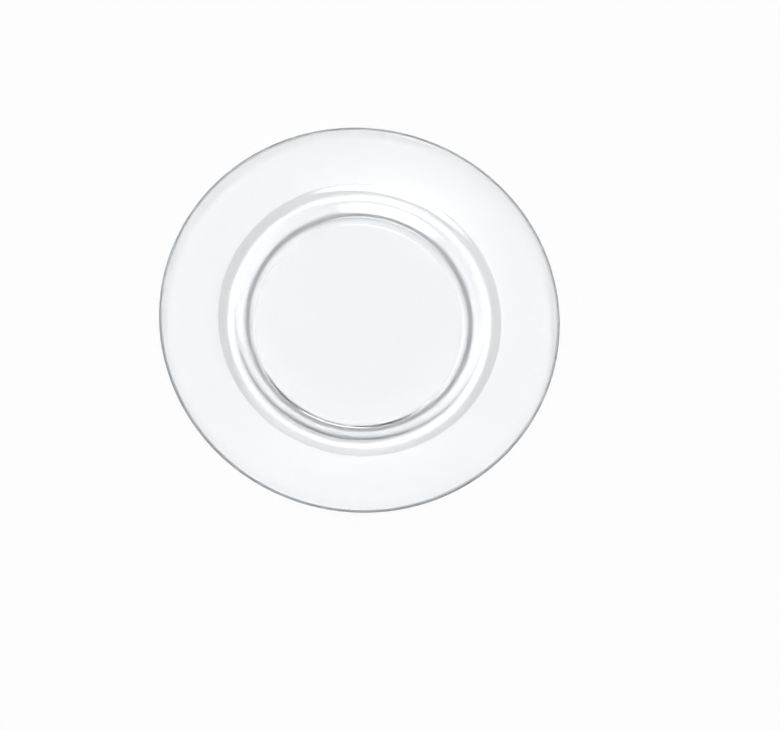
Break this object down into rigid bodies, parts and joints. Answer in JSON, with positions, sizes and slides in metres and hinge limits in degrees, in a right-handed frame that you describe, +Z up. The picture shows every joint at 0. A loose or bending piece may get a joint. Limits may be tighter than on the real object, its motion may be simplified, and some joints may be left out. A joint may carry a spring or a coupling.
{
  "type": "charger plate",
  "caption": "Round clear glass charger plate with a wide flat well, a sloping wall and a broad rim that rises to a rounded edge, made to stand under a dinner plate.",
  "frame": {"origin": "on the table, under the middle of the plate", "axes": "+Z up, along the plate's axis; X and Y lie in the table, and any turn about Z gives the same plate"},
  "size_m": [0.3299, 0.33, 0.0245],
  "materials": {
    "glass": "clear pressed glass, fire polished"
  },
  "bodies": {
    "root": {"plate": "glass"}
  },
  "joints": []
}
